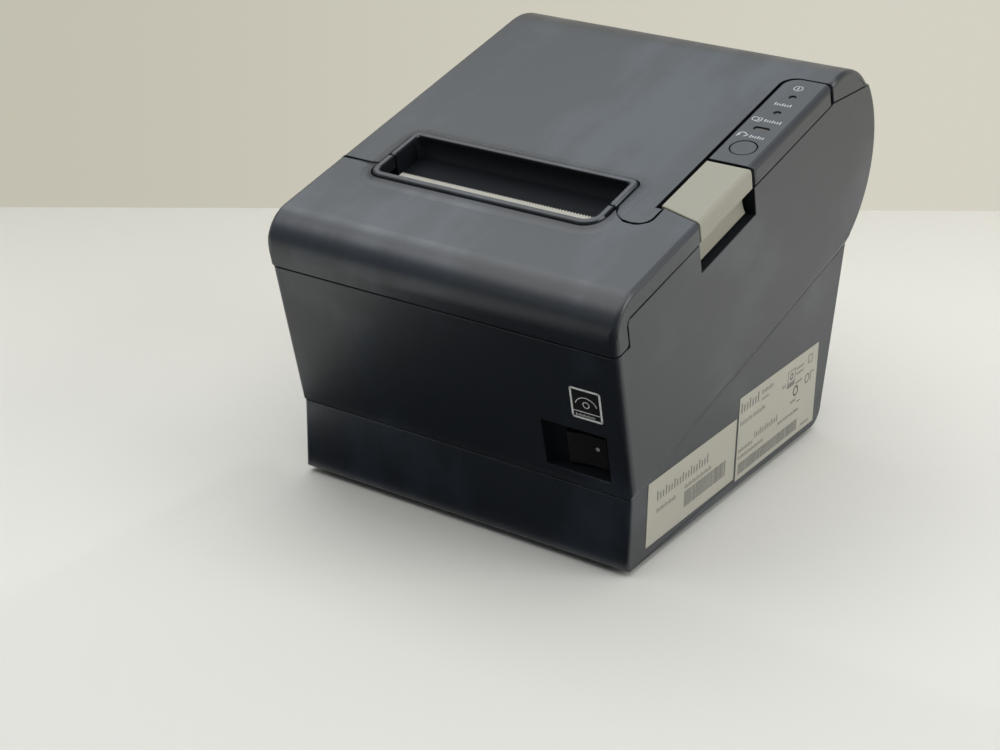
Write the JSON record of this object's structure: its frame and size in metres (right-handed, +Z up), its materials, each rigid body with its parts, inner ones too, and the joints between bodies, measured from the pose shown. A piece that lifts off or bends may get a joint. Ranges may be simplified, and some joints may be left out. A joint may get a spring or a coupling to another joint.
{
  "type": "receipt printer",
  "caption": "Desktop receipt printer with a sloping hinged paper cover, raised exit slot, cover lever, side control panel, front power switch and rear sockets.",
  "frame": {"origin": "middle of the footprint, on the surface that the rubber feet stand on", "axes": "+X to the right as seen from the front, +Y to the rear, +Z up"},
  "size_m": [0.145, 0.195, 0.148],
  "materials": {
    "case_plastic": "matte, fine texture",
    "dark_plastic": "matte",
    "lever_plastic": "matte",
    "lens_plastic": "clear, satin",
    "gear_plastic": "satin",
    "knob_plastic": "satin",
    "foot_rubber": "matte",
    "sheet_steel": "galvanised",
    "blade_steel": "ground",
    "bright_steel": "turned",
    "bush_bronze": "sintered",
    "motor_can": "satin",
    "heatsink": "cast",
    "head_ceramic": "glazed",
    "circuit_board": "solder mask",
    "board_parts": "moulded",
    "label_paper": "matte"
  },
  "bodies": {
    "case": {"lower_case": "case_plastic", "upper_case": "case_plastic", "control_panel": "case_plastic", "indicator_lenses": "lens_plastic", "panel_board": "circuit_board", "lever_pin": "bright_steel", "lever_spring": "bright_steel", "power_switch_body": "dark_plastic", "rubber_feet": "foot_rubber", "case_screws": "bright_steel", "chassis_plate": "sheet_steel", "chassis_screws": "bright_steel", "mech_frame": "sheet_steel", "roll_bin": "dark_plastic", "paper_guide": "dark_plastic", "cutter_frame": "sheet_steel", "cutter_motor": "motor_can", "head_pivot_pin": "bright_steel", "head_springs": "bright_steel", "head_spring_bar": "sheet_steel", "feed_motor": "motor_can", "idler_stud": "bright_steel", "main_board": "circuit_board", "board_components": "board_parts", "board_screws": "bright_steel", "rear_plate": "sheet_steel", "interface_board": "circuit_board", "power_inlet": "dark_plastic", "drawer_socket": "dark_plastic", "usb_socket": "sheet_steel", "serial_socket": "sheet_steel", "plate_screws": "bright_steel", "hinge_pin": "bright_steel", "near_end_sensor": "dark_plastic", "paper_end_sensor": "dark_plastic", "front_badge": "dark_plastic", "asset_label": "label_paper", "rating_label": "label_paper"},
    "roll_cover": {"roll_cover": "case_plastic", "platen_holder": "dark_plastic", "platen_bushes": "bush_bronze", "fixed_blade": "blade_steel"},
    "platen": {"platen_rubber": "foot_rubber", "platen_shaft": "bright_steel", "platen_gear": "gear_plastic"},
    "idler": {"idler_gear": "gear_plastic"},
    "feed_pinion": {"feed_pinion": "bright_steel"},
    "lever": {"cover_lever": "lever_plastic", "latch_hook": "sheet_steel"},
    "feed_button": {"feed_button": "case_plastic"},
    "power_rocker": {"power_rocker": "dark_plastic"},
    "cutter_cover": {"cutter_cover": "case_plastic", "tear_bar": "blade_steel"},
    "cutter_crank": {"cutter_crank_gear": "gear_plastic"},
    "cutter_blade": {"moving_blade": "blade_steel"},
    "cutter_pinion": {"cutter_pinion": "bright_steel", "cutter_knob": "knob_plastic"},
    "print_head": {"thermal_head": "head_ceramic", "head_heatsink": "heatsink"}
  },
  "joints": [
    {"name": "cover_hinge", "type": "hinge", "parent": "case", "child": "roll_cover", "pos_m": [0, 0.0835, 0.086], "axis": [-1, 0, 0], "range_deg": [0, 95]},
    {"name": "platen_spin", "type": "hinge", "parent": "roll_cover", "child": "platen", "pos_m": [-0.006, -0.03781, 0.09971], "axis": [1, 0, 0], "continuous": true},
    {"name": "idler_spin", "type": "hinge", "parent": "case", "child": "idler", "pos_m": [-0.058, -0.04014, 0.07904], "axis": [1, 0, 0], "continuous": true},
    {"name": "feed_pinion_spin", "type": "hinge", "parent": "case", "child": "feed_pinion", "pos_m": [-0.058, -0.04958, 0.06514], "axis": [1, 0, 0], "continuous": true},
    {"name": "lever_lift", "type": "hinge", "parent": "case", "child": "lever", "pos_m": [0.0635, -0.0096, 0.12493], "axis": [-1, 0, 0], "range_deg": [0, 8], "stiffness_Nm_per_rad": 0.5, "springref_deg": -2.86},
    {"name": "feed_button_press", "type": "slide", "parent": "case", "child": "feed_button", "axis": [0, 0.2492, -0.9685], "range_m": [0, 0.0008], "stiffness_N_per_m": 400, "springref_m": -0.0002},
    {"name": "rocker_tilt", "type": "hinge", "parent": "case", "child": "power_rocker", "pos_m": [0.0532, -0.07627, 0.04603], "axis": [0, 0.2492, -0.9685], "range_deg": [0, 10]},
    {"name": "cutter_cover_slide", "type": "slide", "parent": "case", "child": "cutter_cover", "axis": [0, -0.9685, -0.2492], "range_m": [0, 0.012]},
    {"name": "blade_slide", "type": "slide", "parent": "case", "child": "cutter_blade", "axis": [0, 0.9685, 0.2492], "range_m": [0, 0.008]},
    {"name": "cutter_crank", "type": "hinge", "parent": "case", "child": "cutter_crank", "pos_m": [-0.006, -0.07449, 0.1006], "axis": [0, -0.2492, 0.9685], "range_deg": [0, 180]},
    {"name": "cutter_pinion_spin", "type": "hinge", "parent": "case", "child": "cutter_pinion", "pos_m": [0.00984, -0.08192, 0.09868], "axis": [0, -0.2492, 0.9685], "range_deg": [-386, 0]},
    {"name": "head_tip", "type": "hinge", "parent": "case", "child": "print_head", "pos_m": [-0.006, -0.04478, 0.08346], "axis": [1, 0, 0], "range_deg": [0, 1.5], "stiffness_Nm_per_rad": 20, "springref_deg": -2.86}
  ],
  "couplings": [
    {"joint": "idler_spin", "follows": "platen_spin", "ratio": -0.85714},
    {"joint": "feed_pinion_spin", "follows": "platen_spin", "ratio": 1.7143},
    {"joint": "cutter_crank", "follows": "blade_slide", "rad_per_m": 392.7},
    {"joint": "cutter_pinion_spin", "follows": "blade_slide", "rad_per_m": -841.5}
  ]
}
